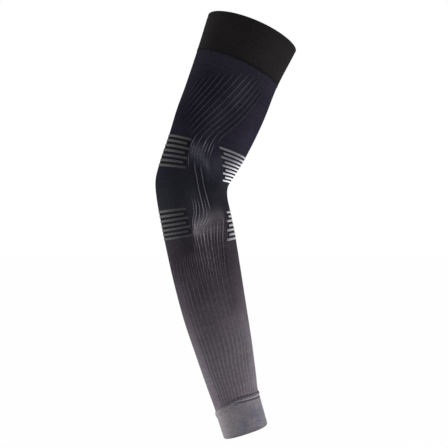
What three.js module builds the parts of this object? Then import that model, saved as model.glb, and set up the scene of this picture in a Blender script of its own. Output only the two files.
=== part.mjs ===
// An arm sleeve: a knitted compression sleeve, in the form that it has on a slightly bent arm.
// Millimetres, +Z up. The arm bends in the XZ plane, with the back of the arm towards -X and the
// inside of the elbow towards +X. The origin is the centre of the upper opening, and the far half
// of the sleeve (+Y) mirrors the near half (-Y).
import * as THREE from 'three';

// Walls and gaps
const SLEEVE_WALL = 1.6;
const UPPER_CUFF_WALL = 2.2;
const WRIST_CUFF_WALL = 2.2;
const SEAM_GAP = 0.3; // between a cuff and the tube that it is sewn to
const EDGE_ROUND = 0.6; // rounding of the cut edges and folded hems
const WRIST_CUFF_PROUD = 0.4; // how far the wrist cuff stands out from the tube
const WELT_HEIGHT = 0.6; // raised fold at the top of the wrist cuff
const WELT_WIDTH = 4.5;

// Sections of the sleeve from the upper rim to the hem. back and inner are the two ends of the
// section in the XZ plane, as [x, z]. depth is its full size along Y, narrow is the share by which
// its back end is narrower than its middle, and arch is how far its near and far sides rise up the
// arm.
const SECTIONS = [
  { name: 'rim', back: [-47.3, 18.4], inner: [47.4, -20.2], depth: 102, narrow: 0, arch: 2 },
  { name: 'cuff seam', back: [-59.3, -20.2], inner: [27.2, -58.8], depth: 91, narrow: 0, arch: 1.7 },
  { name: 'triceps', back: [-72.1, -58.3], inner: [14.1, -91.8], depth: 89, narrow: 0, arch: 0 },
  { name: 'biceps end', back: [-81.6, -84.2], inner: [3.8, -114.5], depth: 87, narrow: 0.03, arch: 0 },
  { name: 'above elbow', back: [-90.1, -112.3], inner: [-8.5, -138.2], depth: 84, narrow: 0.07, arch: 0 },
  { name: 'elbow top', back: [-98.8, -138.2], inner: [-18.2, -154.4], depth: 82, narrow: 0.12, arch: 0 },
  { name: 'elbow', back: [-104.4, -159.8], inner: [-25.8, -166.3], depth: 81, narrow: 0.16, arch: 0 },
  { name: 'elbow foot', back: [-103.3, -179.3], inner: [-26.9, -177.1], depth: 81, narrow: 0.14, arch: 0 },
  { name: 'below elbow', back: [-98.6, -205.2], inner: [-23.5, -194.4], depth: 81, narrow: 0.1, arch: 0 },
  { name: 'forearm', back: [-93.5, -231.1], inner: [-18.6, -218.2], depth: 81, narrow: 0.06, arch: 0 },
  { name: 'mid forearm', back: [-84.8, -270.0], inner: [-12.7, -254.9], depth: 78, narrow: 0.04, arch: 0 },
  { name: 'forearm end', back: [-73.8, -311.0], inner: [-6.5, -294.8], depth: 72, narrow: 0.02, arch: 0 },
  { name: 'above wrist', back: [-60.7, -349.9], inner: [-0.5, -333.7], depth: 65, narrow: 0, arch: 1 },
  { name: 'wrist top', back: [-49.0, -383.4], inner: [4.2, -370.4], depth: 59, narrow: 0, arch: 4 },
  { name: 'wrist seam', back: [-39.6, -409.3], inner: [6.4, -387.6], depth: 56, narrow: 0, arch: 7.7 },
  { name: 'hem', back: [-30.4, -437.8], inner: [15.9, -423.0], depth: 55, narrow: 0, arch: 2.5 },
];

// Ribs of the knit on the near side, numbered from the back of the arm to its inner side. They
// slant across the upper arm, swing round the elbow and run down the forearm. The table gives the
// angle in degrees of three of them at places along the sleeve, where 0 faces -Y and 90 faces the
// inner side. The others lie evenly between these, or go on past the last with the same spacing.
const RIB_COUNT = 15;
const SPLIT_RIB = 8; // the ribs from here on pass the elbow
const LAST_LONG_RIB = 12; // the ribs after this one are short, above the wrist
const RIB_FLOW = [
  { along: 40, first: -28, split: 32, last: 58 },
  { along: 72, first: -43.5, split: 16, last: 43.5 },
  { along: 100, first: -61, split: 1.5, last: 30 },
  { along: 122, first: -73, split: -13, last: 16 },
  { along: 132, first: -71, split: -18, last: 15 },
  { along: 145, first: -66, split: -18, last: 17 },
  { along: 160, first: -61, split: -10, last: 26 },
  { along: 172, first: -58, split: 0, last: 35 },
  { along: 190, first: -55, split: 5, last: 45 },
  { along: 206, first: -55, split: 5, last: 48 },
  { along: 218, first: -57, split: -1, last: 49 },
  { along: 240, first: -62, split: -2, last: 39 },
  { along: 280, first: -67, split: -1, last: 34 },
  { along: 345, first: -62, split: 4, last: 38 },
  { along: 385, first: -57, split: 2, last: 34 },
  { along: 420, first: -51, split: 6, last: 38 },
];

// Where the ribs stand out: from the rib number from to the rib number to, each rises at start and
// sinks in again at end. Both are places along the sleeve, given for the first and the last rib of
// the stretch.
const RIB_STRETCHES = [
  { name: 'upper arm, back', from: 0, to: 7, start: [67, 47], end: [82, 122], height: 0.7 },
  { name: 'upper arm, inner', from: 8, to: 12, start: [47, 56], end: [127, 139], height: 0.7 },
  { name: 'elbow border', from: 8, to: 8, start: [120, 120], end: [152, 152], height: 0.5 },
  { name: 'over the elbow', from: 9, to: 10, start: [148, 153], end: [206, 200], height: 0.7 },
  { name: 'below the elbow', from: 8, to: 8, start: [190, 190], end: [222, 222], height: 0.5 },
  { name: 'forearm top', from: 8, to: 12, start: [222, 212], end: [236, 238], height: 0.7 },
  { name: 'forearm, inner', from: 8, to: 12, start: [228, 228], end: [276, 276], height: 0.6 },
  { name: 'forearm, back', from: 4, to: 7, start: [262, 236], end: [300, 300], height: 0.6 },
  { name: 'along the forearm', from: 2, to: 13, start: [250, 250], end: [430, 430], height: 0.3 },
  { name: 'above the wrist', from: 2, to: 14, start: [322, 322], end: [430, 430], height: 0.45 },
];
const RIB_FADE = 12; // length over which a rib rises or sinks

// Rows and columns of the walls
const TUBE_ROWS = [
  { from: 'cuff seam', to: 'above elbow', outer: 10, inner: 4 },
  { from: 'above elbow', to: 'below elbow', outer: 11, inner: 8 },
  { from: 'below elbow', to: 'wrist seam', outer: 18, inner: 6 },
];
const BACK_COLUMNS = 7; // between the rib panels, on the back of the arm
const INNER_COLUMNS = 5; // between the rib panels, on the inner side
const CUFF_COLUMNS = 40;
const CUFF_ROWS = 3;

// Finish of the knits
const UPPER_CUFF_COLOUR = 0x1c1b1b;
const SLEEVE_COLOUR = 0x322e36;
const WRIST_CUFF_COLOUR = 0x6e6a72;
const KNIT_ROUGHNESS = 0.9;

const HALF_TURN = Math.PI;
const DEGREE = HALF_TURN / 180;
const mix = THREE.MathUtils.lerp;
const rise = (value, start, length) => THREE.MathUtils.smoothstep(value, start, start + length);

// Distance along the sleeve of each section, measured through the middles of the sections.
const middleOf = (row) => new THREE.Vector2(...row.back).lerp(new THREE.Vector2(...row.inner), 0.5);
SECTIONS.forEach((row, i) => {
  const before = SECTIONS[i - 1];
  row.along = i === 0 ? 0 : before.along + middleOf(before).distanceTo(middleOf(row));
});
const alongOf = (name) => SECTIONS.find((row) => row.name === name).along;

// A value that pick reads from each row of a table, at a place along the sleeve, on a smooth curve
// through the rows.
function smooth(rows, pick, along) {
  const last = rows.length - 1;
  let i = 0;
  while (i < last - 1 && along > rows[i + 1].along) i += 1;
  const slope = (j) => {
    const before = rows[Math.max(j - 1, 0)];
    const after = rows[Math.min(j + 1, last)];
    return (pick(after) - pick(before)) / (after.along - before.along);
  };
  const step = rows[i + 1].along - rows[i].along;
  const u = (along - rows[i].along) / step;
  const start = (2 * u ** 3 - 3 * u ** 2 + 1) * pick(rows[i]);
  const startSlope = (u ** 3 - 2 * u ** 2 + u) * step * slope(i);
  const end = (3 * u ** 2 - 2 * u ** 3) * pick(rows[i + 1]);
  const endSlope = (u ** 3 - u ** 2) * step * slope(i + 1);
  return start + startSlope + end + endSlope;
}

// A point of the sleeve: along it from the rim, round it by an angle, and inset from its outer face.
function sleevePoint(along, angle, inset) {
  const at = (pick) => smooth(SECTIONS, pick, along);
  const back = new THREE.Vector2(at((row) => row.back[0]), at((row) => row.back[1]));
  const inner = new THREE.Vector2(at((row) => row.inner[0]), at((row) => row.inner[1]));
  const across = inner.clone().sub(back);
  const halfWidth = across.length() / 2;
  across.normalize();
  const towardsBack = Math.max(-Math.sin(angle), 0);
  const halfDepth = at((row) => row.depth / 2) * (1 - at((row) => row.narrow) * towardsBack ** 2);
  const lift = at((row) => row.arch) * Math.cos(angle) ** 2;
  const sideways = (halfWidth - inset) * Math.sin(angle);
  const middle = back.add(inner).multiplyScalar(0.5);
  return new THREE.Vector3(
    middle.x + across.x * sideways - across.y * lift,
    -(halfDepth - inset) * Math.cos(angle),
    middle.y + across.y * sideways + across.x * lift,
  );
}

// A closed ring-shaped wall. rows is the outline of the wall's cross-section, followed down the
// outside and back up the inside, and anglesAt and insetAt place the columns of each row.
function ringWall(rows, anglesAt, insetAt) {
  const columns = anglesAt(rows[0]).length;
  const positions = [];
  rows.forEach((row) => {
    anglesAt(row).forEach((angle, column) => {
      positions.push(...sleevePoint(row.along, angle, insetAt(row, column)).toArray());
    });
  });
  const index = [];
  rows.forEach((_, i) => {
    const here = i * columns;
    const below = ((i + 1) % rows.length) * columns;
    for (let column = 0; column < columns; column += 1) {
      const beside = (column + 1) % columns;
      index.push(here + column, below + column, here + beside);
      index.push(below + column, below + beside, here + beside);
    }
  });
  const geometry = new THREE.BufferGeometry();
  geometry.setAttribute('position', new THREE.Float32BufferAttribute(positions, 3));
  geometry.setIndex(index);
  geometry.computeVertexNormals();
  return geometry;
}

// Places from start to end in equal steps, without the end itself.
const steps = (start, end, count) => Array.from({ length: count }, (_, i) => mix(start, end, i / count));

// Rows of a wall from top to bottom and back: outer and inner are places along the sleeve, and the
// ends are rounded between the two faces.
function wallRows(top, bottom, outer, inner, wall, proud) {
  const inside = (places) => places.filter((p) => p > top + EDGE_ROUND && p < bottom - EDGE_ROUND);
  const outerFace = inside(outer).map((along) => ({ along, inset: -proud, outside: true }));
  const innerFace = inside(inner).map((along) => ({ along, inset: wall - proud, outside: false }));
  const edge = (along, inward, inset) => ({ along: along + inward, inset, outside: false });
  return [
    edge(top, 0, EDGE_ROUND - proud),
    edge(top, EDGE_ROUND, -proud),
    ...outerFace,
    edge(bottom, -EDGE_ROUND, -proud),
    edge(bottom, 0, EDGE_ROUND - proud),
    edge(bottom, 0, wall - EDGE_ROUND - proud),
    edge(bottom, -EDGE_ROUND, wall - proud),
    ...innerFace.reverse(),
    edge(top, EDGE_ROUND, wall - proud),
    edge(top, 0, wall - EDGE_ROUND - proud),
  ];
}

// Angle of a rib, whose number may lie between two ribs.
function ribAngle(rib, along) {
  const at = (column) => smooth(RIB_FLOW, (row) => row[column], along);
  if (rib < SPLIT_RIB) return mix(at('first'), at('split'), rib / SPLIT_RIB) * DEGREE;
  const share = (rib - SPLIT_RIB) / (LAST_LONG_RIB - SPLIT_RIB);
  return mix(at('split'), at('last'), share) * DEGREE;
}

// Height of a rib's crest at a place along the sleeve.
function ribHeight(rib, along) {
  const heights = RIB_STRETCHES.filter(({ from, to }) => rib >= from && rib <= to).map((stretch) => {
    const share = (rib - stretch.from) / Math.max(stretch.to - stretch.from, 1);
    const risen = rise(along, mix(...stretch.start, share), RIB_FADE);
    return stretch.height * (risen - rise(along, mix(...stretch.end, share), RIB_FADE));
  });
  return Math.max(0, ...heights);
}

// Columns of the tube: a crest and a groove for each rib on the near side, plain columns over the
// inner side, the same ribs mirrored on the far side and plain columns over the back.
const RIB_COLUMNS = Array.from({ length: 2 * RIB_COUNT + 1 }, (_, i) => (i - 1) / 2);
const FAR_RIB_COLUMNS = [...RIB_COLUMNS].reverse();
function tubeAngles(row) {
  const near = RIB_COLUMNS.map((rib) => ribAngle(rib, row.along));
  const far = FAR_RIB_COLUMNS.map((rib) => HALF_TURN - ribAngle(rib, row.along));
  const innerSide = steps(near.at(-1), far[0], INNER_COLUMNS + 1).slice(1);
  const backSide = steps(far.at(-1), near[0] + 2 * HALF_TURN, BACK_COLUMNS + 1).slice(1);
  return [...near, ...innerSide, ...far, ...backSide];
}
const PLAIN = null;
const TUBE_COLUMNS = [
  ...RIB_COLUMNS,
  ...Array(INNER_COLUMNS).fill(PLAIN),
  ...FAR_RIB_COLUMNS,
  ...Array(BACK_COLUMNS).fill(PLAIN),
];
function tubeInset(row, column) {
  const rib = TUBE_COLUMNS[column];
  const isCrest = row.outside && Number.isInteger(rib);
  return isCrest ? row.inset - ribHeight(rib, row.along) : row.inset;
}

function sleeveBody() {
  const places = (face) =>
    TUBE_ROWS.flatMap((stretch) => steps(alongOf(stretch.from), alongOf(stretch.to), stretch[face]));
  const top = alongOf('cuff seam') + SEAM_GAP / 2;
  const bottom = alongOf('wrist seam') - SEAM_GAP / 2;
  const rows = wallRows(top, bottom, places('outer'), places('inner'), SLEEVE_WALL, 0);
  return ringWall(rows, tubeAngles, tubeInset);
}

const cuffAngles = () => steps(0, 2 * HALF_TURN, CUFF_COLUMNS);
const rowInset = (row) => row.inset;

function upperCuff() {
  const top = alongOf('rim');
  const bottom = alongOf('cuff seam') - SEAM_GAP / 2;
  const places = steps(top, bottom, CUFF_ROWS);
  return ringWall(wallRows(top, bottom, places, places, UPPER_CUFF_WALL, 0), cuffAngles, rowInset);
}

// The wrist cuff has a raised fold along its top edge.
function wristCuff() {
  const top = alongOf('wrist seam') + SEAM_GAP / 2;
  const bottom = alongOf('hem');
  const welt = [top + WELT_WIDTH / 3, top + (2 * WELT_WIDTH) / 3];
  const places = steps(top + WELT_WIDTH, bottom, CUFF_ROWS);
  const rows = wallRows(top, bottom, [...welt, ...places], places, WRIST_CUFF_WALL, WRIST_CUFF_PROUD);
  const raised = (row) => row.outside && welt.includes(row.along);
  const inset = (row) => (raised(row) ? row.inset - WELT_HEIGHT : row.inset);
  return ringWall(rows, cuffAngles, inset);
}

const piece = (name, geometry, color) => {
  const material = new THREE.MeshStandardMaterial({ color, roughness: KNIT_ROUGHNESS, metalness: 0 });
  const mesh = new THREE.Mesh(geometry, material);
  mesh.name = name;
  return mesh;
};

const armSleeve = new THREE.Group();
armSleeve.add(
  piece('upper_cuff', upperCuff(), UPPER_CUFF_COLOUR),
  piece('sleeve_body', sleeveBody(), SLEEVE_COLOUR),
  piece('wrist_cuff', wristCuff(), WRIST_CUFF_COLOUR),
);

export default armSleeve;
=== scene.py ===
"""The looks of a knitted arm sleeve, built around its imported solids. Metres, +Z up."""

import bpy
import numpy as np
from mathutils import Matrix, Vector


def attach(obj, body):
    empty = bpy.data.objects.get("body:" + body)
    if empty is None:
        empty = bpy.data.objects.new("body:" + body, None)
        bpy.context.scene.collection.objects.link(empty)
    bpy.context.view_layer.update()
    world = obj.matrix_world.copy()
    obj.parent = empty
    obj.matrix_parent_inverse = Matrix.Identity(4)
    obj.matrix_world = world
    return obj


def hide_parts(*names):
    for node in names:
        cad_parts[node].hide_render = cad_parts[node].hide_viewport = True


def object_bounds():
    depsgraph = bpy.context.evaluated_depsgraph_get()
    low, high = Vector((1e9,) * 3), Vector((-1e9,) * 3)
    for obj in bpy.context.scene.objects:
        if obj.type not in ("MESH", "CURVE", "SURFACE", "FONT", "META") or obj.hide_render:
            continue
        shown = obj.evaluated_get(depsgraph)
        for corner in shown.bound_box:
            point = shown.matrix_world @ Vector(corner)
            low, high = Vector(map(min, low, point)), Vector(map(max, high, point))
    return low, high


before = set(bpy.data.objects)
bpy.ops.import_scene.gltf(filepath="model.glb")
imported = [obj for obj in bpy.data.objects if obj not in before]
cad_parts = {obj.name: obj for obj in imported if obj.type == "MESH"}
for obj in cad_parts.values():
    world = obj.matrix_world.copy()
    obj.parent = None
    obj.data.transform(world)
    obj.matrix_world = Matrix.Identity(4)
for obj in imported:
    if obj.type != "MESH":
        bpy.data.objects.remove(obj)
cad_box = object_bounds()

# Sections of the sleeve from the upper rim to the hem, as in the part's source: the back and the
# inner end of each in the XZ plane, its size along Y, the share by which its back end is narrower,
# and how far its near and far sides rise up the arm.
SECTION_COLUMNS = ("back_x", "back_z", "inner_x", "inner_z", "depth", "narrow", "arch")
SECTIONS = {
    "rim": (-0.0473, 0.0184, 0.0474, -0.0202, 0.102, 0.00, 0.0020),
    "cuff seam": (-0.0593, -0.0202, 0.0272, -0.0588, 0.091, 0.00, 0.0017),
    "triceps": (-0.0721, -0.0583, 0.0141, -0.0918, 0.089, 0.00, 0.0),
    "biceps end": (-0.0816, -0.0842, 0.0038, -0.1145, 0.087, 0.03, 0.0),
    "above elbow": (-0.0901, -0.1123, -0.0085, -0.1382, 0.084, 0.07, 0.0),
    "elbow top": (-0.0988, -0.1382, -0.0182, -0.1544, 0.082, 0.12, 0.0),
    "elbow": (-0.1044, -0.1598, -0.0258, -0.1663, 0.081, 0.16, 0.0),
    "elbow foot": (-0.1033, -0.1793, -0.0269, -0.1771, 0.081, 0.14, 0.0),
    "below elbow": (-0.0986, -0.2052, -0.0235, -0.1944, 0.081, 0.10, 0.0),
    "forearm": (-0.0935, -0.2311, -0.0186, -0.2182, 0.081, 0.06, 0.0),
    "mid forearm": (-0.0848, -0.2700, -0.0127, -0.2549, 0.078, 0.04, 0.0),
    "forearm end": (-0.0738, -0.3110, -0.0065, -0.2948, 0.072, 0.02, 0.0),
    "above wrist": (-0.0607, -0.3499, -0.0005, -0.3337, 0.065, 0.00, 0.0010),
    "wrist top": (-0.0490, -0.3834, 0.0042, -0.3704, 0.059, 0.00, 0.0040),
    "wrist seam": (-0.0396, -0.4093, 0.0064, -0.3876, 0.056, 0.00, 0.0077),
    "hem": (-0.0304, -0.4378, 0.0159, -0.4230, 0.055, 0.00, 0.0025),
}

# Angle in degrees of three of the ribs at places along the sleeve. Zero faces -Y, and 90 faces the
# inner side of the elbow. The far side of the sleeve mirrors the near side.
RIB_COUNT = 15
SPLIT_RIB = 8
LAST_LONG_RIB = 12
SHORT_RIB_STEP = 8.2  # between the ribs after the last long one
RIB_FLOW_COLUMNS = ("along", "first", "split", "last")
RIB_FLOW = (
    (0.040, -28, 32, 58),
    (0.072, -43.5, 16, 43.5),
    (0.100, -61, 1.5, 30),
    (0.122, -73, -13, 16),
    (0.132, -71, -18, 15),
    (0.145, -66, -18, 17),
    (0.160, -61, -10, 26),
    (0.172, -58, 0, 35),
    (0.190, -55, 5, 45),
    (0.206, -55, 5, 48),
    (0.218, -57, -1, 49),
    (0.240, -62, -2, 39),
    (0.280, -67, -1, 34),
    (0.345, -62, 4, 38),
    (0.385, -57, 2, 34),
    (0.420, -51, 6, 38),
)

# Where the ribs stand out: the rib numbers, the places where the first and the last of them rise
# and sink in again, their height, and how much of the light yarn shows on them.
STRETCH_COLUMNS = ("from_rib", "to_rib", "start", "end", "height", "light")
RIB_STRETCHES = {
    "upper arm, back": (0, 4, (0.067, 0.0556), (0.082, 0.1049), 0.0007, 0.92),
    "upper arm, middle": (5, 7, (0.0527, 0.047), (0.1106, 0.122), 0.0007, 0.66),
    "upper arm, lower ends": (3, 7, (0.085, 0.092), (0.0985, 0.121), 0.0007, 0.90),
    "upper arm, inner": (8, 9, (0.047, 0.049), (0.127, 0.130), 0.0007, 0.53),
    "upper arm, innermost": (10, 12, (0.052, 0.056), (0.133, 0.120), 0.0007, 0.40),
    "elbow strokes": (9, 11, (0.119, 0.126), (0.130, 0.137), 0.0007, 0.78),
    "elbow border": (8, 8, (0.120, 0.120), (0.152, 0.152), 0.0005, 0.95),
    "over the elbow": (9, 10, (0.148, 0.153), (0.206, 0.200), 0.0007, 1.00),
    "below the elbow": (8, 8, (0.190, 0.190), (0.222, 0.222), 0.0005, 0.85),
    "forearm top": (8, 12, (0.222, 0.212), (0.233, 0.238), 0.0007, 0.95),
    "forearm, inner": (8, 12, (0.228, 0.228), (0.270, 0.270), 0.0006, 0.55),
    "forearm, back": (4, 7, (0.262, 0.236), (0.300, 0.300), 0.0006, 0.38),
    "along the forearm": (2, 13, (0.250, 0.250), (0.430, 0.430), 0.0003, 0.34),
    "above the wrist": (2, 14, (0.322, 0.332), (0.430, 0.430), 0.00045, 0.50),
}
# Fine lines halfway between the ribs, in the same columns.
FINE_STRETCHES = {
    "above the elbow": (10.4, 11.6, (0.128, 0.128), (0.137, 0.138), 0.0003, 0.90),
    "below the elbow": (7.5, 9.6, (0.189, 0.189), (0.218, 0.212), 0.0003, 0.85),
    "forearm top": (7.5, 11.6, (0.220, 0.214), (0.238, 0.236), 0.0003, 0.80),
    "forearm": (4.4, 11.6, (0.246, 0.240), (0.276, 0.272), 0.0002, 0.48),
}
RIB_FADE = 0.012
RIB_HALF_WIDTH = 0.0009
FINE_HALF_WIDTH = 0.0006
LINE_EDGE = (0.00075, 0.0002)  # a rib's light line fades in between these distances from its middle
FINE_EDGE = (0.0006, 0.0001)

# Light patches where the ribs run together: the rib numbers, the place of the patch's middle at the
# first and the last of them, half of its height, how light it is all over, and how light its lines.
PATCH_COLUMNS = ("from_rib", "to_rib", "middle", "half", "haze", "lines")
PATCHES = {
    "above the elbow": (7.9, 10.5, (0.1430, 0.1470), 0.0080, 0.32, 0.40),
    "haze above the elbow": (9.0, 11.4, (0.1405, 0.1560), 0.0070, 0.24, 0.20),
    "fan below the elbow": (7.3, 10.3, (0.2245, 0.2175), 0.0085, 0.36, 0.50),
    "foot of the fan": (7.2, 8.4, (0.2285, 0.2285), 0.0036, 0.48, 0.0),
    "beside the fan": (8.8, 12.4, (0.2165, 0.2170), 0.0100, 0.27, 0.0),
    "top of the forearm": (8.0, 12.4, (0.2270, 0.2280), 0.0060, 0.25, 0.0),
}
PATCH_ENDS = (0.15, 0.3)  # shares of the rib numbers over which a patch fades in and out
HATCH_TEAR = (0.30, 0.55)  # levels of the noise between which the lines of a patch are torn
# The lines of the fan meet below it: the angle and the place where they meet, and how many degrees
# a metre lie from one line to the next.
FAN_ANGLE = -12.0
FAN_FOOT = 0.245
FAN_STEP = 200.0
FAN_LEAST = 0.004  # the lines end this far from where they would meet

# Bands of bars across the back and the inner side of the elbow: the side, the first and the last
# place along the sleeve, and the angle where the bars end at those places.
BAND_COLUMNS = ("side", "start", "end", "tip_start", "tip_end")
BAR_BANDS = {
    "upper back": (-1, 0.1315, 0.1640, -22, -13),
    "lower back": (-1, 0.2005, 0.2325, -10, -8),
    "upper inner": (1, 0.1300, 0.1715, 17, 55),
    "lower inner": (1, 0.2095, 0.2440, 64, 47),
}
BAR_PITCH = 0.0048
BAR_WIDTH = 0.0024
BAR_STAGGER = 0.0038  # every second bar is this much shorter
BAR_EDGE = 0.0004
BAR_HEIGHT = 0.0004
BAND_EDGE = 0.0010
BAND_INSET = 0.0012  # the dark ground of a band begins this far inside it
FAR_OUTSIDE = -1.0  # stands for the distance inside a band where no band is near

# Walls, seams and edges
SLEEVE_WALL = 0.0016
CUFF_WALL = 0.0022
WRIST_CUFF_PROUD = 0.0004
# The fold under the wrist seam: at angles round the wrist, its width, its height and how much darker
# it is painted, partly as painted shade and partly as the darker tone of the tube's ribs running on over it.
WELT_COLUMNS = ("side", "width", "height", "shade")
WELT = (
    (-90, 0.0080, 0.0010, 0.0),
    (-50, 0.0070, 0.0008, 0.0),
    (-36, 0.0030, 0.0005, 0.5),
    (-22, 0.0036, 0.0005, 0.9),
    (0, 0.0036, 0.0005, 0.8),
    (25, 0.0048, 0.0005, 0.5),
    (80, 0.0044, 0.0005, 0.3),
)
WELT_CREST = 2.6  # its width holds this many half widths of its round crest
WELT_FADE = 0.0010
RUNG_LEVELS = (0.7, 0.3)  # mean and swing of its dark, as the tube's ribs run on over the fold
GROOVE_SIDES = (-14, 26)  # the groove under the fold begins at this angle, over this many degrees
WELT_GROOVE = 0.0009
GROOVE_HALF_WIDTH = 0.0008
FAINT_SIDES = (-32, 60)  # the wrist seam grows firm from this angle, over this many degrees
FAINT_SEAM = 0.15
# Painted light beside the wrist seam: how much darker it is painted at two angles, negative where it is
# painted paler to cancel the seam's shade.
SEAM_SIDES = (-50, -28)
SEAM_SHADES = (-0.7, 0.0)
SEAM_GAP = 0.0003
EDGE_ROUND = 0.0009
SEAM_ROUND = 0.0005  # of the edges at the wrist seam
TUCK_LENGTH = 0.0030  # the tube's edges reach this far under the cuffs
TUCK_CLEAR = 0.0004
TUCK_WALL = 0.0008
HEM_LINE = 0.0032  # a shallow line below the upper rim
HEM_LINE_DEPTH = 0.0002

# Fineness of the meshes. A run of rows has its first and last place and the distance between rows.
RIB_SUBCOLUMNS = (0.0, 0.1, 0.2, 0.35, 0.5, 0.65, 0.8, 0.9)
FLANK_COLUMNS = 22
ROW_RUNS = (
    (0.0400, 0.1270, 0.0022),
    (0.1270, 0.1735, 0.0008),
    (0.1735, 0.1960, 0.0018),
    (0.1960, 0.2495, 0.0008),
    (0.2495, 0.4190, 0.0022),
)
INNER_ROW = 0.012
CUFF_ROW = 0.0012
WELT_ROW = 0.0005
CUFF_INNER_ROW = 0.006
COLUMNS_PER_CUFF_RIB = 4
UPPER_CUFF_RIBS = 150
WRIST_CUFF_RIBS = 104
CUFF_RIB_HEIGHT = 0.00012
ROUND_TURNS = (80, 60, 35, 10)  # degrees round a rounded edge, where its rows lie
INNER_FACE_SHARE = 0.3  # room of a wall's inner face in its flat map, against the outer face's

# Knit: stitches around the sleeve, the height of one row of them, how many rows their legs slant
# over, and the shares of loops and legs in their relief
WALES = 380
COURSE = 0.00062
STITCH_SLANT = 1.2
STITCH_LOOP = 0.25
STITCH_LEG = 0.5
KNIT_BUMP = {"Strength": 0.5, "Distance": 0.0002}
# Unevenness of the yarn: the scale of a noise, its swing and its least level
BLOTCH = (45.0, 0.3, 0.85)
FLECK = (500.0, 0.8, 0.6)
STREAK = (1.0, 0.4, 0.8)
STREAK_STRETCH = (0.012, 0.35, 1.0)  # steps of the streaks' noise for a stitch round and along
STITCH_GAPS = (0.5, 0.75)  # swing and least level of the dark between the stitches
# Scales of the noises that make the lines waver, tear and break, and that mingle two yarns
WAVER_NOISE = 200.0
TEAR_NOISE = 420.0
BREAK_NOISE = 300.0
MINGLE_NOISE = 90.0
MINGLE_DETAIL = 3.0
MINGLE_LEVELS = (0.35, 0.65)
# Finish of the cloths: roughness, sheen and specular level
SLEEVE_FINISH = (0.9, 0.0, 0.0)
UPPER_CUFF_FINISH = (0.9, 0.01, 0.02)
WRIST_CUFF_FINISH = (0.9, 0.02, 0.08)
THREAD_FINISH = (0.8, 0.02, 0.1)
SHEEN_ROUGHNESS = 0.5

# Colour: the slant of the fade from navy to grey, in metres a degree, and between which angles; how
# much painted shade darkens the cloth beside the ribs, how much darker it is between the bars, and how
# much painted shade darkens it in the grooves, at the seams and at the hem
SHADE_SLANT = 0.00035
SHADE_SIDES = (-8.0, 50.0)
VALLEY_SHADE_SHARE = 0.35
BAND_SHARE = 0.5
PAINTED_SHADE_SCALE = 0.5
# Painted shade, darkening the cloth where shade falls: in the seam under the upper cuff, towards the upper
# cuff's inner side and under the hem
CUFF_SEAM_SHADE = 0.7
CUFF_SEAM_HALF_WIDTH = 0.0013
CUFF_INNER_SHADE = 0.5  # the upper cuff is darker by this towards its inner side
CUFF_INNER_SIDES = (28.0, 40.0)  # from this angle on, over this many degrees
HEM_SHADE = 1.0
HEM_HALF_WIDTH = 0.0017
# Painted light and shade on the tube: bands painted lighter as a highlight of the front light, and
# bands painted darker as shade where less light falls: the angle of their middle, half of their width
# in degrees, where they begin and end along the sleeve, and the share of light added.
PAINTED_LIGHT_COLUMNS = ("side", "half", "start", "end", "share")
PAINTED_LIGHTS = {
    "front below the cuff": (16.0, 14.0, 0.046, 0.078, 0.52),
    "inside below the cuff": (58.0, 14.0, 0.044, 0.066, -0.14),
    "back below the cuff": (-28.0, 24.0, 0.047, 0.074, -0.22),
    "back of the upper arm": (-48.0, 18.0, 0.084, 0.112, -0.18),
    "front above the elbow": (1.0, 12.0, 0.082, 0.128, 0.50),
    "inside above the elbow": (58.0, 14.0, 0.092, 0.112, 0.20),
    "above the crook": (22.0, 13.0, 0.132, 0.152, 0.55),
    "crook of the elbow": (38.0, 18.0, 0.160, 0.176, -0.35),
    "front of the forearm": (6.0, 14.0, 0.172, 0.255, 0.40),
    "beside the fan": (-16.0, 14.0, 0.226, 0.262, -0.15),
    "back of the forearm": (-50.0, 20.0, 0.232, 0.268, -0.22),
    "inside of the forearm": (42.0, 20.0, 0.240, 0.306, -0.26),
}
PAINTED_LIGHT_FADE = 0.018
# The rib lines waver, as shares of a rib's width, and are unevenly light: little on the upper arm,
# more on the forearm, past the second of two places, and less by a share again towards the wrist.
LINE_WAVER = (0.12, 0.50)
LINE_BREAK = (0.5, 2.0)
ROUGH_PLACES = (0.235, 0.260)
CALM_PLACES = (0.300, 0.335)
CALM_SHARE = 0.7
# Painted sheen on the bars: they are painted paler towards the outline, as a reflection of the light
# at grazing angles: at the back from an angle on, over a number of degrees, and on the inner side from
# the angles that go with places along the sleeve.
BACK_PALE_SIDE = 15.0
BACK_PALE_RUN = 50.0
PALE_PLACES = (0.132, 0.165, 0.212, 0.245)
PALE_SIDES = (50.0, 8.0, 26.0, 32.0)
PALE_RUN = 63.0
BAR_SIDES = (-1.0, 1.0)  # the bars change from the back to the inner colour between these angles
CUFF_LIT_BACK_SIDES = (10.0, -35.0)  # the cuffs take their back colour between these angles
EXPOSURE = 0.95  # light of a yarn, as a share of the light of its colour on a screen
# Colours of the tube and of its light lines at places along it, as they look facing -Y
BASE_STOPS = (
    (0.040, (33, 31, 39)),
    (0.120, (27, 25, 34)),
    (0.175, (29, 30, 35)),
    (0.203, (33, 33, 38)),
    (0.235, (44, 40, 45)),
    (0.280, (55, 50, 56)),
    (0.320, (71, 66, 71)),
    (0.360, (85, 80, 86)),
    (0.417, (90, 84, 90)),
)
LINE_STOPS = (
    (0.040, (57, 56, 66)),
    (0.116, (53, 52, 61)),
    (0.127, (88, 87, 98)),
    (0.140, (74, 74, 82)),
    (0.175, (68, 68, 76)),
    (0.198, (86, 85, 92)),
    (0.212, (102, 98, 104)),
    (0.230, (105, 101, 107)),
    (0.250, (88, 83, 89)),
    (0.280, (89, 84, 90)),
    (0.320, (84, 79, 85)),
    (0.360, (105, 100, 106)),
    (0.417, (107, 101, 107)),
)
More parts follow.
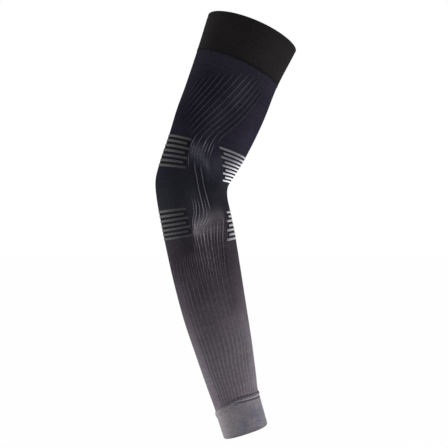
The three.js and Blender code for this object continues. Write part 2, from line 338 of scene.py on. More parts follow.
# Colours of the painted shade between the ribs, of the bars and their bands, of the painted sheen that
# pales the bars at the outline, and of the cuffs
VALLEY_SHADE = (14, 13, 20)
BAND_GROUND = (16, 16, 20)
BACK_BAR = (54, 54, 56)
BACK_BAR_SHEEN = (74, 74, 74)
INNER_BAR = (82, 82, 86)
INNER_BAR_SHEEN = (165, 165, 168)
UPPER_CUFF = (25, 23, 24)
WRIST_CUFF = ((105, 100, 105), (89, 88, 98))
# Back of the grey cuff: a warmer yarn, and lighter as painted light on that side
WRIST_CUFF_LIT_BACK = (106, 102, 105)

# Lamps: where they stand, and their power in watts
LAMP_SIZE = 0.5
LAMPS = (
    ("inner side", (0.30, 0.09, -0.90), 18.0),
    ("back side", (-1.34, 0.80, -0.90), 44.0),
)

# Floor, sky and camera
FLOOR_DROP = 1.0  # from the hem to the floor
FLOOR_REACH = 30.0
FLOOR_COLOUR = (0.99, 0.99, 0.99, 1.0)
SKY_COLOUR = (1.0, 1.0, 1.0, 1.0)
SKY_STRENGTH = 1.0
CAMERA_PLACE = (-0.0305, -0.87, -0.2074)
CAMERA_SENSOR = 36.0  # its width in millimetres
CAMERA_LENS = 64.7  # its focal length in millimetres

# Thread of the seam under the upper cuff
THREAD_RADIUS = 0.00022
THREAD_TURNS = 118
THREAD_REACH = 0.0010
THREAD_STEPS = 10
THREAD_SIDES = 6
THREAD_DARK = (12, 12, 14)
THREAD_LIGHT = (34, 34, 38)
FIBRE_NOISE = 2500.0
FIBRE_BUMP = {"Strength": 0.4, "Distance": 0.0001}


def table_of(columns, rows):
    """Columns of a table by name, as arrays."""
    return {name: np.array([row[i] for row in rows], float) for i, name in enumerate(columns)}


def rows_of(columns, table):
    """Rows of a table as dictionaries."""
    return [dict(zip(columns, row)) for row in table.values()]


section = table_of(SECTION_COLUMNS, SECTIONS.values())
middle_x = (section["back_x"] + section["inner_x"]) / 2
middle_z = (section["back_z"] + section["inner_z"]) / 2
section_steps = np.hypot(np.diff(middle_x), np.diff(middle_z))
section["along"] = np.concatenate([[0.0], np.cumsum(section_steps)])
ALONG = dict(zip(SECTIONS, section["along"]))
END = ALONG["wrist seam"]
rib_flow = table_of(RIB_FLOW_COLUMNS, RIB_FLOW)
welt = table_of(WELT_COLUMNS, WELT)


def smooth(table, column, along):
    """A column's value at places along the sleeve, on the smooth curve that the part's source uses."""
    places = table["along"]
    values = table[column]
    count = len(places)
    before = np.maximum(np.arange(count) - 1, 0)
    after = np.minimum(np.arange(count) + 1, count - 1)
    slope = (values[after] - values[before]) / (places[after] - places[before])
    i = np.clip(np.searchsorted(places, along) - 1, 0, count - 2)
    step = places[i + 1] - places[i]
    u = (along - places[i]) / step
    start = (2 * u**3 - 3 * u**2 + 1) * values[i] + (u**3 - 2 * u**2 + u) * step * slope[i]
    end = (3 * u**2 - 2 * u**3) * values[i + 1] + (u**3 - u**2) * step * slope[i + 1]
    return start + end


def mix(start, end, share):
    return start + (end - start) * share


def rise(value, start, length):
    """A soft step from 0 at start to 1 a length later."""
    u = np.clip((value - start) / length, 0, 1)
    return u * u * (3 - 2 * u)


def hump(distance, half_width):
    """A soft bump that is 1 at its middle and sinks away past its half width."""
    return np.exp(-((distance / half_width) ** 2))


def to_whole(number):
    """Distance to the nearest whole number."""
    return np.abs(number - np.round(number))


def sleeve_points(along, angle, inset):
    """Points of the sleeve: along it from the rim, round it in degrees, inset from its outer face."""
    turn = np.radians(angle)
    back_x = smooth(section, "back_x", along)
    back_z = smooth(section, "back_z", along)
    across_x = smooth(section, "inner_x", along) - back_x
    across_z = smooth(section, "inner_z", along) - back_z
    width = np.hypot(across_x, across_z)
    towards_back = np.maximum(-np.sin(turn), 0)
    half_depth = smooth(section, "depth", along) / 2
    half_depth = half_depth * (1 - smooth(section, "narrow", along) * towards_back**2)
    lift = smooth(section, "arch", along) * np.cos(turn) ** 2
    sideways = width / 2 + (width / 2 - inset) * np.sin(turn)
    x = back_x + (across_x * sideways - across_z * lift) / width
    z = back_z + (across_z * sideways + across_x * lift) / width
    return np.stack([x, -(half_depth - inset) * np.cos(turn), z], -1)


def near_side(angle):
    """The angle on the near side, from -90 to 90, of a place that may lie on the far side."""
    return 90 - np.abs((angle + 90) % 360 - 180)


def rib_angle(rib, along):
    """Angle of a rib on the near side. Its number may lie between two ribs."""
    first = smooth(rib_flow, "first", along)
    split = smooth(rib_flow, "split", along)
    last = smooth(rib_flow, "last", along)
    before_split = mix(first, split, rib / SPLIT_RIB)
    long_share = (np.minimum(rib, LAST_LONG_RIB) - SPLIT_RIB) / (LAST_LONG_RIB - SPLIT_RIB)
    short = np.maximum(rib - LAST_LONG_RIB, 0) * SHORT_RIB_STEP
    return np.where(rib < SPLIT_RIB, before_split, mix(split, last, long_share) + short)


def stretch_level(stretches, column, rib, along):
    """The greatest level of the stretches at a rib and a place, from a column of their table."""
    level = np.zeros(np.broadcast(rib, along).shape)
    for row in rows_of(STRETCH_COLUMNS, stretches):
        ribs = max(row["to_rib"] - row["from_rib"], 1)
        share = np.clip((rib - row["from_rib"]) / ribs, 0, 1)
        start = mix(*row["start"], share)
        end = mix(*row["end"], share)
        risen = rise(along, start, RIB_FADE) - rise(along, end, RIB_FADE)
        inside = (rib >= row["from_rib"]) & (rib <= row["to_rib"])
        level = np.maximum(level, row[column] * inside * risen)
    return level


def patch_level(column, rib, along):
    """How much of the light patches shows at a rib and a place, from a column of their table."""
    level = np.zeros(np.broadcast(rib, along).shape)
    fade_in, fade_out = PATCH_ENDS
    for row in rows_of(PATCH_COLUMNS, PATCHES):
        share = (rib - row["from_rib"]) / (row["to_rib"] - row["from_rib"])
        window = rise(share, 0, fade_in) - rise(share, 1 - fade_out / 2, fade_out)
        window = window * hump(along - mix(*row["middle"], share), row["half"])
        level = np.maximum(level, row[column] * window)
    return level


def bar_bands(side, along):
    """Distance inside the nearest band of bars, negative outside it, and the number of the bar there."""
    inside = np.full(np.broadcast(side, along).shape, FAR_OUTSIDE)
    number = np.zeros(inside.shape)
    radius = smooth(section, "depth", along) / 2
    for row in rows_of(BAND_COLUMNS, BAR_BANDS):
        length = row["end"] - row["start"]
        share = (along - row["start"]) / length
        tip = mix(row["tip_start"], row["tip_end"], np.clip(share, 0, 1))
        from_tip = np.radians(side - tip) * row["side"] * radius
        from_end = np.minimum(along - row["start"], row["end"] - along)
        depth = np.minimum(from_tip, from_end)
        number = np.where(depth > inside, share * round(length / BAR_PITCH), number)
        inside = np.maximum(inside, depth)
    return inside, number


def bar_relief(inside, number):
    """Height of the bars, which have round ends."""
    shorter = BAR_STAGGER * (np.floor(number) % 2)
    beyond = np.maximum(BAR_WIDTH / 2 + shorter - inside, 0)
    from_bar = np.hypot(to_whole(number - 0.5) * BAR_PITCH, beyond)
    return BAR_HEIGHT * rise(BAR_WIDTH / 2 - from_bar, -BAR_EDGE, 2 * BAR_EDGE)


def painted_light_share(side, along):
    """Share of light that the painted highlights add, negative where painted shade darkens the cloth."""
    lift = np.zeros(np.broadcast(side, along).shape)
    for row in rows_of(PAINTED_LIGHT_COLUMNS, PAINTED_LIGHTS):
        window = rise(along, row["start"], PAINTED_LIGHT_FADE) - rise(along, row["end"], PAINTED_LIGHT_FADE)
        lift = lift + row["share"] * window * hump(side - row["side"], row["half"])
    return lift


def hatch_lines(ribs, pitch, side, along):
    """Number of the fine line at a place of the patches, and the distance from one line to the next."""
    fan_step = FAN_STEP * np.maximum(FAN_FOOT - along, FAN_LEAST)
    fan = (side - FAN_ANGLE) / fan_step
    fan_pitch = np.radians(fan_step) * smooth(section, "depth", along) / 2
    below = along > ALONG["elbow"]
    return np.where(below, fan, 2 * ribs), np.where(below, fan_pitch, pitch / 2)


def seam_firmness(side):
    """How firmly the wrist seam shows: only faintly at the back of the arm."""
    return mix(FAINT_SEAM, 1.0, rise(side, *FAINT_SIDES))


def seam_shade(side, distance):
    """How much darker the yarn is painted at a distance from the wrist seam: painted light makes it paler at
    the back of the arm.
    """
    return np.interp(side, SEAM_SIDES, SEAM_SHADES) * hump(distance, GROOVE_HALF_WIDTH)


def welt_rungs(side):
    """Level of the fold's painted dark at an angle: darker in line with the valleys between the tube's ribs.
    """
    ribs = np.arange(RIB_COUNT)
    rib = np.interp(side, rib_angle(ribs, ALONG["wrist seam"]), ribs)
    mean, swing = RUNG_LEVELS
    return mean - swing * np.cos(2 * np.pi * rib)


def bar_painted_sheen(side, along):
    """How much painted sheen pales the bars towards the outline, from 0 to 1."""
    back = rise(-side, BACK_PALE_SIDE, BACK_PALE_RUN)
    inner = rise(side, np.interp(along, PALE_PLACES, PALE_SIDES), PALE_RUN)
    return np.where(side < 0, back, inner)


def eased(along, inset, side):
    """Insets of a wall's rows, with its edge at the wrist seam less rounded where the seam is faint."""
    beside = (np.abs(along - ALONG["wrist seam"]) < 2 * EDGE_ROUND) & (inset < EDGE_ROUND)
    return inset[:, None] * np.where(beside[:, None], seam_firmness(side), 1.0)


def grid_uv(across, down):
    """Places of a ring's rows and columns in a flat map, one row and one column more than the ring has."""
    return np.stack(np.broadcast_arrays(across, down), -1)


def ring_object(name, points, floats, maps):
    """A closed ring of quads from a grid of points, with float attributes and UV maps."""
    rows, columns = points.shape[:2]
    mesh = bpy.data.meshes.new(name)
    mesh.vertices.add(rows * columns)
    mesh.vertices.foreach_set("co", points.astype(np.float32).ravel())
    row, column = np.meshgrid(np.arange(rows), np.arange(columns), indexing="ij")
    here = row * columns
    below = (row + 1) % rows * columns
    beside = (column + 1) % columns
    corners = np.stack([here + column, below + column, below + beside, here + beside], -1)
    mesh.loops.add(corners.size)
    mesh.loops.foreach_set("vertex_index", corners.astype(np.int32).ravel())
    mesh.polygons.add(rows * columns)
    mesh.polygons.foreach_set("loop_start", np.arange(0, corners.size, 4, dtype=np.int32))
    mesh.polygons.foreach_set("use_smooth", np.ones(rows * columns, bool))
    mesh.update(calc_edges=True)
    for label, values in floats.items():
        layer = mesh.attributes.new(label, "FLOAT", "POINT")
        spread = np.broadcast_to(values, (rows, columns)).astype(np.float32)
        layer.data.foreach_set("value", spread.ravel())
    for label, spots in maps.items():
        layer = mesh.uv_layers.new(name=label, do_init=False)
        quads = np.stack([spots[:-1, :-1], spots[1:, :-1], spots[1:, 1:], spots[:-1, 1:]], 2)
        layer.uv.foreach_set("vector", quads.astype(np.float32).ravel())
    mesh.validate()
    made = bpy.data.objects.new(name, mesh)
    bpy.context.scene.collection.objects.link(made)
    return made


def bake_map(points, outside):
    """A square map of a ring, with most of its room for the outer face."""
    rows, columns = points.shape[:2]
    steps = np.linalg.norm(np.roll(points, -1, 0) - points, axis=-1).mean(1)
    down = np.concatenate([[0.0], np.cumsum(steps * np.where(outside > 0, 1.0, INNER_FACE_SHARE))])
    return grid_uv(np.linspace(0, 1, columns + 1)[None, :], (down / down[-1])[:, None])


def knit_map(along, angles):
    """A map that counts the stitches: wales round the sleeve and courses along it."""
    wales = np.concatenate([angles, angles[:, :1] + 360], 1) * WALES / 360
    closed = np.concatenate([wales, wales[:1]])
    courses = np.concatenate([along, along[-1:]]) / COURSE
    return grid_uv(closed, courses[:, None])


def wall_rows(head, outer, foot, inner):
    """Rows of a wall's outline, down its outer face and back up its inner face: along, inset, outside."""
    rows = [*head, *[(along, 0.0) for along in outer], *foot, *inner]
    along, inset = np.array(rows).T
    outside = np.zeros(len(rows))
    outside[len(head):len(head) + len(outer)] = 1
    return along, inset, outside


def between(low, high, places):
    return [place for place in places if low < place < high]


def rounded(edge, inward, radius):
    """Rows of a rounded edge of the outer face, from the edge inwards: along and inset."""
    turns = np.radians(ROUND_TURNS)
    return [(edge + inward * radius * (1 - np.sin(t)), radius * (1 - np.cos(t))) for t in turns]


def tube_angles(along):
    """Angle of each column in each row of the tube, and the rib number of each column."""
    steps = [k + np.array(RIB_SUBCOLUMNS) for k in range(-1, RIB_COUNT)]
    near_ribs = np.concatenate([*steps, [RIB_COUNT]])
    near = rib_angle(near_ribs[None, :], along[:, None])
    far = 180 - near[:, ::-1]
    share = np.arange(1, FLANK_COLUMNS + 1) / (FLANK_COLUMNS + 1)
    inner_flank = mix(near[:, -1:], far[:, :1], share)
    back_flank = mix(far[:, -1:], near[:, :1] + 360, share)
    angles = np.concatenate([near, inner_flank, far, back_flank], 1)
    flank = np.ones(FLANK_COLUMNS)
    ribs = np.concatenate([near_ribs, flank * RIB_COUNT, near_ribs[::-1], -flank])
    return angles, ribs[None, :]


def sleeve_body():
    """The knitted tube, with its ribs and bars, and edges that tuck under the cuffs."""
    top = ALONG["cuff seam"] + SEAM_GAP / 2
    bottom = ALONG["wrist seam"] - SEAM_GAP / 2
    places = np.concatenate([np.arange(*run) for run in ROW_RUNS])
    outer = between(top + EDGE_ROUND, bottom - EDGE_ROUND, places)
    upper_tuck = CUFF_WALL + TUCK_CLEAR
    lower_tuck = CUFF_WALL - WRIST_CUFF_PROUD + TUCK_CLEAR
    head = [(top - TUCK_LENGTH, upper_tuck), (top, upper_tuck), *rounded(top, 1, EDGE_ROUND)]
    foot = [*rounded(bottom, -1, SEAM_ROUND)[::-1], (bottom, lower_tuck), (bottom + TUCK_LENGTH, lower_tuck)]
    inner_places = np.arange(bottom - TUCK_LENGTH, top + TUCK_LENGTH, -INNER_ROW)
    inner_face = [(place, SLEEVE_WALL) for place in inner_places]
    foot_inside = (bottom + TUCK_LENGTH, lower_tuck + TUCK_WALL)
    head_inside = (top - TUCK_LENGTH, upper_tuck + TUCK_WALL)
    inner = [foot_inside, *inner_face, head_inside]
    along, inset, outside = wall_rows(head, outer, foot, inner)
    place = np.clip(along, top, bottom)[:, None]
    angles, ribs = tube_angles(place[:, 0])
    side = near_side(angles)
    whole_rib = np.round(ribs)
    pitch = rib_angle(ribs + 0.5, place) - rib_angle(ribs - 0.5, place)
    pitch = np.radians(pitch) * smooth(section, "depth", place) / 2
    in_band, bar = bar_bands(side, place)
    panel = 1 - rise(in_band, -BAND_EDGE, BAND_EDGE)
    rib_height = stretch_level(RIB_STRETCHES, "height", whole_rib, place)
    fine_height = stretch_level(FINE_STRETCHES, "height", ribs, place)
    ribbed = rib_height * hump(to_whole(ribs) * pitch, RIB_HALF_WIDTH)
    finely_ribbed = fine_height * hump(to_whole(ribs + 0.5) * pitch, FINE_HALF_WIDTH)
    relief = np.maximum(ribbed, finely_ribbed) * panel + bar_relief(in_band, bar)
    depth = eased(along, inset, side) - outside[:, None] * relief
    hatch, hatch_pitch = hatch_lines(ribs, pitch, side, place)
    # Painted shade in the seam under the upper cuff
    cuff_groove = CUFF_SEAM_SHADE * hump(place - top, CUFF_SEAM_HALF_WIDTH)
    points = sleeve_points(along[:, None], angles, depth)
    floats = {
        "shade": place + SHADE_SLANT * (np.clip(side, *SHADE_SIDES) - np.mean(SHADE_SIDES)),
        "side": side,
        "rib": ribs,
        "pitch": pitch,
        "line": stretch_level(RIB_STRETCHES, "light", whole_rib, place) * panel,
        "fine": stretch_level(FINE_STRETCHES, "light", ribs, place) * panel,
        "haze": patch_level("haze", ribs, place) * panel,
        "hatching": patch_level("lines", ribs, place) * panel,
        "hatch": hatch,
        "hatch_pitch": hatch_pitch,
        # painted highlight and painted shade of the bands, as a share of light
        "lift": painted_light_share(side, place),
        "band": in_band,
        "bar": bar,
        "pale": bar_painted_sheen(side, place),
        # groove: painted shade beside the cuff seam, and painted light beside the wrist seam at the back of
        # the arm
        "groove": seam_shade(side, bottom - place) + cuff_groove,
    }
    maps = {"Knit": knit_map(along, angles), "OFBake": bake_map(points, outside)}
    return ring_object("sleeve_knit", points, floats, maps)


def cuff_angles(ribs):
    """Angle of each column of a cuff."""
    return np.arange(ribs * COLUMNS_PER_CUFF_RIB)[None, :] * 360 / (ribs * COLUMNS_PER_CUFF_RIB)


def cuff_object(name, rows, ribs, proud, folds):
    """A cuff with fine ribs, standing proud of the tube. folds gives its relief, with its grooves, and its
    painted light and shade.
    """
    along, inset, outside = rows
    angles = cuff_angles(ribs) + np.zeros((len(along), 1))
    side = near_side(angles)
    relief, groove = folds(along[:, None], side)
    fine = CUFF_RIB_HEIGHT * np.cos(np.radians(angles * ribs))
    depth = eased(along, inset, side) - proud - outside[:, None] * (fine + relief)
    points = sleeve_points(along[:, None], angles, depth)
    floats = {"side": side, "groove": groove}
    maps = {"Knit": knit_map(along, angles), "OFBake": bake_map(points, outside)}
    return ring_object(name, points, floats, maps)


def cuff_rows(top, bottom, places, head_round):
    """Rows of a cuff's wall, with rounded edges."""
    outer = between(top + head_round, bottom - EDGE_ROUND, places)
    head = rounded(top, 1, head_round)
    foot = rounded(bottom, -1, EDGE_ROUND)[::-1]
    inner_places = np.arange(bottom - EDGE_ROUND, top + EDGE_ROUND, -CUFF_INNER_ROW)
    inner_face = [(place, CUFF_WALL) for place in inner_places]
    inner = [(bottom, CUFF_WALL - EDGE_ROUND), *inner_face, (top, CUFF_WALL - EDGE_ROUND)]
    return wall_rows(head, outer, foot, inner)


def upper_cuff():
    """The black cuff, with a shallow line below its folded rim."""
    top = ALONG["rim"]
    bottom = ALONG["cuff seam"] - SEAM_GAP / 2
    rows = cuff_rows(top, bottom, np.arange(top, bottom, CUFF_ROW), EDGE_ROUND)

    def folds(along, side):
        line = hump(along - top - HEM_LINE, CUFF_ROW)
        # Painted shade: in the seam, and towards the inner side where less light falls
        groove = CUFF_SEAM_SHADE * hump(bottom - along, CUFF_SEAM_HALF_WIDTH)
        groove = groove + CUFF_INNER_SHADE * rise(side, *CUFF_INNER_SIDES)
        return -HEM_LINE_DEPTH * line, groove

    return cuff_object("upper_cuff_knit", rows, UPPER_CUFF_RIBS, 0.0, folds)


def wrist_cuff():
    """The grey cuff, with a raised fold along its top that is widest at the back of the arm."""
    top = ALONG["wrist seam"] + SEAM_GAP / 2
    bottom = ALONG["hem"]
    fold_end = top + 2 * welt["width"].max()
    fold_places = np.arange(top, fold_end - WELT_ROW / 2, WELT_ROW)
    places = np.concatenate([fold_places, np.arange(fold_end, bottom, CUFF_ROW)])

    def folds(along, side):
        width = np.interp(side, welt["side"], welt["width"])
        height = np.interp(side, welt["side"], welt["height"])
        fold = hump(along - top - width / 2, width / WELT_CREST)
        begun = rise(along, top - WELT_FADE, WELT_FADE)
        ended = rise(along, top + width - WELT_FADE, WELT_FADE)
        # Darker fold: partly painted shade, partly the tone of the tube's ribs that run on over it
        shade = np.interp(side, welt["side"], welt["shade"]) * welt_rungs(side) * (begun - ended)
        # Painted shade in the groove under the fold and under the hem
        groove = rise(side, *GROOVE_SIDES) * hump(along - top - width, GROOVE_HALF_WIDTH)
        hem = HEM_SHADE * hump(along - bottom, HEM_HALF_WIDTH)
        dark = np.maximum(np.maximum(groove, hem), shade) + seam_shade(side, along - top)
        return height * fold - WELT_GROOVE * groove, dark

    rows = cuff_rows(top, bottom, places, SEAM_ROUND)
    return cuff_object("wrist_cuff_knit", rows, WRIST_CUFF_RIBS, WRIST_CUFF_PROUD, folds)


def seam_thread():
    """A zigzag thread that joins the upper cuff and the tube across their seam."""
    count = THREAD_TURNS * THREAD_STEPS
    turn = np.arange(count) / count
    swing = np.sin(2 * np.pi * THREAD_TURNS * turn)
    sunk = THREAD_RADIUS * (1 - 2 * np.abs(swing))
    path = sleeve_points(ALONG["cuff seam"] + THREAD_REACH * swing, 360 * turn, sunk)
    ahead = np.roll(path, -1, 0) - np.roll(path, 1, 0)
    ahead /= np.linalg.norm(ahead, axis=1, keepdims=True)
    outwards = path - sleeve_points(ALONG["cuff seam"] + 0 * turn, 360 * turn, CUFF_WALL)
    sideways = np.cross(ahead, outwards)
    sideways /= np.linalg.norm(sideways, axis=1, keepdims=True)
    upwards = np.cross(sideways, ahead)
    around = 2 * np.pi * np.arange(THREAD_SIDES) / THREAD_SIDES
    up_share = np.cos(around)[None, :, None]
    side_share = np.sin(around)[None, :, None]
    points = path[:, None] + THREAD_RADIUS * (up_share * upwards[:, None] + side_share * sideways[:, None])
    return ring_object("seam_thread", points, {}, {})


class Shader:
    """Builds the nodes of one material."""

    def __init__(self, name):
        self.material = bpy.data.materials.new(name)
        self.material.use_nodes = True
        self.tree = self.material.node_tree
        self.tree.nodes.clear()

    def add(self, kind, inputs=None, **settings):
        node = self.tree.nodes.new("ShaderNode" + kind)
        for key, value in settings.items():
            setattr(node, key, value)
        for key, value in (inputs or {}).items():
            self.set(node.inputs[key], value)
        return node

    def set(self, socket, value):
        if isinstance(value, bpy.types.NodeSocket):
            self.tree.links.new(value, socket)
        else:
            socket.default_value = value

    def math(self, operation, *values):
        return self.add("Math", dict(enumerate(values)), operation=operation).outputs[0]

    def attribute(self, name):
        return self.add("Attribute", attribute_name=name).outputs["Fac"]

    def step(self, value, start, end):
        """A soft step from 0 at start to 1 at end, which may be the lower one."""
        inputs = {"Value": value, "From Min": start, "From Max": end}
        return self.add("MapRange", inputs, interpolation_type="SMOOTHSTEP").outputs[0]

    def mix(self, share, first, second, blend="MIX"):
        """A mix of two colours, for which the node has inputs 6 and 7 and output 2."""
        node = self.add("Mix", data_type="RGBA", blend_type=blend)
        self.set(node.inputs[0], share)
        self.set(node.inputs[6], first)
        self.set(node.inputs[7], second)
        return node.outputs[2]

    def ramp(self, value, stops):
        node = self.add("ValToRGB", {"Fac": value})
        elements = node.color_ramp.elements
        while len(elements) < len(stops):
            elements.new(0.5)
        for element, (place, colour) in zip(elements, stops):
            element.position = place
            element.color = colour
        return node.outputs[0]

    def noise(self, vector, scale, detail=2.0):
        return self.add("TexNoise", {"Vector": vector, "Scale": scale, "Detail": detail}).outputs["Fac"]

    def level(self, vector, scale, swing, least):
        """A level that noise raises from the least one by up to the swing."""
        return self.math("MULTIPLY_ADD", self.noise(vector, scale), swing, least)

    def uneven(self, noise, share, sizes):
        """Noise about zero, whose size goes from the first to the second of two as share grows."""
        size = self.math("MULTIPLY_ADD", share, sizes[1] - sizes[0], sizes[0])
        return self.math("MULTIPLY", self.math("SUBTRACT", noise, 0.5), size)

    def to_line(self, number, shift, pitch):
        """Distance to the nearest line, where a line lies at each whole number plus the shift."""
        part = self.math("FRACT", self.math("ADD", number, 0.5 - shift))
        return self.math("MULTIPLY", self.math("ABSOLUTE", self.math("SUBTRACT", part, 0.5)), pitch)


def yarn(red, green, blue):
    """The colour of a yarn that looks like this on a screen, 0 to 255, under the studio's light."""
    share = np.array([red, green, blue]) / 255
    # The sRGB curve of a screen, undone
    light = np.where(share < 0.04045, share / 12.92, ((share + 0.055) / 1.055) ** 2.4)
    return (*(light * EXPOSURE), 1.0)


def knit_surface(shader):
    """Places of the stitches, the height of these slanted columns from 0 to 1, and their bump."""
    spots = shader.add("UVMap", uv_map="Knit").outputs["UV"]
    parts = shader.add("SeparateXYZ", {"Vector": spots}).outputs
    across = shader.math("ABSOLUTE", shader.math("SUBTRACT", shader.math("FRACT", parts["X"]), 0.5))
    slanted = shader.math("MULTIPLY_ADD", across, STITCH_SLANT, parts["Y"])
    loop = shader.math("SINE", shader.math("MULTIPLY", slanted, 2 * np.pi))
    leg = shader.math("ABSOLUTE", shader.math("SINE", shader.math("MULTIPLY", parts["X"], 2 * np.pi)))
    legs = shader.math("MULTIPLY_ADD", leg, STITCH_LEG, STITCH_LOOP)
    height = shader.math("MULTIPLY_ADD", loop, STITCH_LOOP, legs)
    bump = shader.add("Bump", {**KNIT_BUMP, "Height": height})
    return spots, height, bump.outputs["Normal"]


def cloth(shader, colour, normal, finish):
    """The surface of a knitted cloth."""
    roughness, sheen, specular = finish
    inputs = {
        "Base Color": colour,
        "Roughness": roughness,
        "Specular IOR Level": specular,
        "Sheen Weight": sheen,
        "Sheen Roughness": SHEEN_ROUGHNESS,
        "Normal": normal,
    }
    surface = shader.add("BsdfPrincipled", inputs)
    shader.add("OutputMaterial", {"Surface": surface.outputs[0]})
    return shader.material


def heather(shader, spots, height, colour):
    """Colour with the unevenness of knitted yarn: blotches, fleck, row streaks, dark gaps; painted light and
    shade.
    """
    position = shader.add("TexCoord").outputs["Object"]
    blotch = shader.level(position, *BLOTCH)
    fleck = shader.level(position, *FLECK)
    stretched = shader.add("VectorMath", {0: spots, 1: STREAK_STRETCH}, operation="MULTIPLY")
    streak = shader.level(stretched.outputs[0], *STREAK)
    gaps = shader.math("MULTIPLY_ADD", height, *STITCH_GAPS)
    fine = shader.math("MULTIPLY", fleck, streak)
    level = shader.math("MULTIPLY", fine, shader.math("MULTIPLY", gaps, blotch))
    # Painted shade from the groove attribute darkens the yarn; where it is negative, painted light lightens
    # it
    painted_shade_level = shader.math("MULTIPLY_ADD", shader.attribute("groove"), -PAINTED_SHADE_SCALE, 1.0)
    return shader.mix(1.0, colour, shader.math("MULTIPLY", level, painted_shade_level), "MULTIPLY")


def along_stops(stops):
    """Stops of a colour ramp that runs along the tube."""
    return [(place / END, yarn(*colour)) for place, colour in stops]


def bar_mark(shader):
    """Where the bars are, and where the dark bands around them are."""
    inside = shader.attribute("band")
    number = shader.attribute("bar")
    odd = shader.math("FLOORED_MODULO", shader.math("FLOOR", number), 2.0)
    reach = shader.math("MULTIPLY_ADD", odd, BAR_STAGGER, BAR_WIDTH / 2)
    beyond = shader.math("MAXIMUM", shader.math("SUBTRACT", reach, inside), 0.0)
    across = shader.to_line(number, 0.5, BAR_PITCH)
    squares = shader.math("MULTIPLY_ADD", across, across, shader.math("MULTIPLY", beyond, beyond))
    bar = shader.step(shader.math("SQRT", squares), (BAR_WIDTH + BAR_EDGE) / 2, (BAR_WIDTH - BAR_EDGE) / 2)
    return bar, shader.step(inside, BAND_INSET - BAND_EDGE, BAND_INSET + BAND_EDGE)


def sleeve_material():
    """Knit that fades from navy to grey, with light rib lines, light patches and bars."""
    shader = Shader("sleeve_knit")
    place = shader.math("DIVIDE", shader.attribute("shade"), END)
    position = shader.add("TexCoord").outputs["Object"]
    rough = shader.step(place, *[rough_place / END for rough_place in ROUGH_PLACES])
    calm = shader.step(place, *[calm_place / END for calm_place in CALM_PLACES])
    rough = shader.math("MULTIPLY_ADD", calm, -CALM_SHARE, rough)
    waver = shader.uneven(shader.noise(position, WAVER_NOISE), rough, LINE_WAVER)
    rib = shader.math("ADD", shader.attribute("rib"), waver)
    pitch = shader.attribute("pitch")
    base = shader.ramp(place, along_stops(BASE_STOPS))
    light = shader.ramp(place, along_stops(LINE_STOPS))
    line_share = shader.attribute("line")
    line = shader.math("MULTIPLY", shader.step(shader.to_line(rib, 0.0, pitch), *LINE_EDGE), line_share)
    fine = shader.step(shader.to_line(rib, 0.5, pitch), *FINE_EDGE)
    fine = shader.math("MULTIPLY", fine, shader.attribute("fine"))
    hatch = shader.math("ADD", shader.attribute("hatch"), waver)
    hatch = shader.step(shader.to_line(hatch, 0.0, shader.attribute("hatch_pitch")), *LINE_EDGE)
    torn = shader.step(shader.noise(position, TEAR_NOISE), *HATCH_TEAR)
    hatch = shader.math("MULTIPLY", shader.math("MULTIPLY", hatch, torn), shader.attribute("hatching"))
    broken = shader.math("ADD", shader.uneven(shader.noise(position, BREAK_NOISE), rough, LINE_BREAK), 1.0)
    lines = shader.math("MULTIPLY", shader.math("MAXIMUM", line, fine), broken)
    light_share = shader.math("MAXIMUM", lines, shader.math("ADD", hatch, shader.attribute("haze")))
    # Painted shade: beside the rib lines the ground darkens towards the valley shade colour
    ground = shader.mix(shader.math("MULTIPLY", line_share, VALLEY_SHADE_SHARE), base, yarn(*VALLEY_SHADE))
    colour = shader.mix(light_share, ground, light)
    # Painted light and shade: the lift attribute lightens the cloth as a painted highlight and darkens it as
    # painted shade
    lift = shader.math("ADD", shader.attribute("lift"), 1.0)
    colour = shader.mix(1.0, colour, lift, "MULTIPLY")
    bar, band = bar_mark(shader)
    side = shader.attribute("side")
    # Painted sheen: the pale attribute pales the bars towards the outline, as a painted reflection
    pale = shader.attribute("pale")
    back_bar = shader.mix(pale, yarn(*BACK_BAR), yarn(*BACK_BAR_SHEEN))
    inner_bar = shader.mix(pale, yarn(*INNER_BAR), yarn(*INNER_BAR_SHEEN))
    bar_colour = shader.mix(shader.step(side, *BAR_SIDES), back_bar, inner_bar)
    colour = shader.mix(shader.math("MULTIPLY", band, BAND_SHARE), colour, yarn(*BAND_GROUND))
    colour = shader.mix(bar, colour, bar_colour)
    spots, height, normal = knit_surface(shader)
    return cloth(shader, heather(shader, spots, height, colour), normal, SLEEVE_FINISH)


def plain_knit(name, first, second, back, finish):
    """Knit of two mingled yarns, and of a warmer third towards the back of the arm, where painted light
    makes it lighter.
    """
    shader = Shader(name)
    position = shader.add("TexCoord").outputs["Object"]
    share = shader.step(shader.noise(position, MINGLE_NOISE, MINGLE_DETAIL), *MINGLE_LEVELS)
    spots, height, normal = knit_surface(shader)
    colour = shader.mix(share, yarn(*first), yarn(*second))
    # Painted light: towards the back of the arm the grey cuff takes a lighter, warmer colour
    colour = shader.mix(shader.step(shader.attribute("side"), *CUFF_LIT_BACK_SIDES), colour, yarn(*back))
    return cloth(shader, heather(shader, spots, height, colour), normal, finish)


def thread_material():
    """Dark sewing thread with uneven fibres."""
    shader = Shader("seam_thread")
    position = shader.add("TexCoord").outputs["Object"]
    fibre = shader.noise(position, FIBRE_NOISE)
    bump = shader.add("Bump", {**FIBRE_BUMP, "Height": fibre}).outputs["Normal"]
    colour = shader.mix(fibre, yarn(*THREAD_DARK), yarn(*THREAD_LIGHT))
    return cloth(shader, colour, bump, THREAD_FINISH)


def place_piece(piece, material, node=None):
    """Gives a piece its material and its slot, and hides the part that it stands for."""
    piece.data.materials.append(material)
    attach(piece, "root")
    if node:
        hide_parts(node)
    return piece


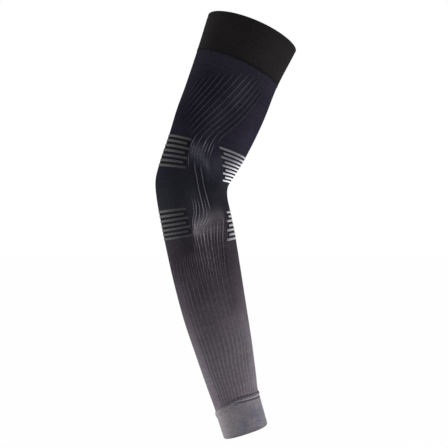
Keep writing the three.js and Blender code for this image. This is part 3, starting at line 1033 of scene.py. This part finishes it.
body = place_piece(sleeve_body(), sleeve_material(), "sleeve_body")
cuff_black = plain_knit("upper_cuff_knit", UPPER_CUFF, UPPER_CUFF, UPPER_CUFF, UPPER_CUFF_FINISH)
cuff_grey = plain_knit("wrist_cuff_knit", *WRIST_CUFF, WRIST_CUFF_LIT_BACK, WRIST_CUFF_FINISH)
upper = place_piece(upper_cuff(), cuff_black, "upper_cuff")
wrist = place_piece(wrist_cuff(), cuff_grey, "wrist_cuff")
thread = place_piece(seam_thread(), thread_material())


def stage():
    """A wide pale floor, soft light from all round and two large soft lamps at the sides."""
    world = bpy.data.worlds.new("studio")
    bpy.context.scene.world = world
    world.use_nodes = True
    sky = world.node_tree.nodes["Background"].inputs
    sky["Color"].default_value = SKY_COLOUR
    sky["Strength"].default_value = SKY_STRENGTH
    floor_mesh = bpy.data.meshes.new("floor")
    floor_z = cad_box[0].z - FLOOR_DROP
    signs = ((-1, -1), (1, -1), (1, 1), (-1, 1))
    corners = [(x * FLOOR_REACH, y * FLOOR_REACH, floor_z) for x, y in signs]
    floor_mesh.from_pydata(corners, [], [(0, 1, 2, 3)])
    floor = bpy.data.objects.new("floor", floor_mesh)
    bpy.context.scene.collection.objects.link(floor)
    shader = Shader("floor")
    surface = shader.add("BsdfDiffuse", {"Color": FLOOR_COLOUR})
    shader.add("OutputMaterial", {"Surface": surface.outputs[0]})
    floor_mesh.materials.append(shader.material)
    for name, place, power in LAMPS:
        lamp = bpy.data.lights.new(name, "AREA")
        lamp.size = LAMP_SIZE
        lamp.energy = power
        light = bpy.data.objects.new(name, lamp)
        bpy.context.scene.collection.objects.link(light)
        light.location = place
        light.visible_camera = False
        aim = (cad_box[0] + cad_box[1]) / 2 - light.location
        light.rotation_euler = aim.to_track_quat("-Z", "Y").to_euler()
    bpy.context.scene.view_settings.view_transform = "Standard"


def camera():
    """The photograph's view: level, along +Y."""
    lens = bpy.data.cameras.new("camera")
    lens.sensor_width = CAMERA_SENSOR
    lens.lens = CAMERA_LENS
    made = bpy.data.objects.new("camera", lens)
    bpy.context.scene.collection.objects.link(made)
    made.location = CAMERA_PLACE
    made.rotation_euler = (np.pi / 2, 0.0, 0.0)
    bpy.context.scene.camera = made


stage()
camera()
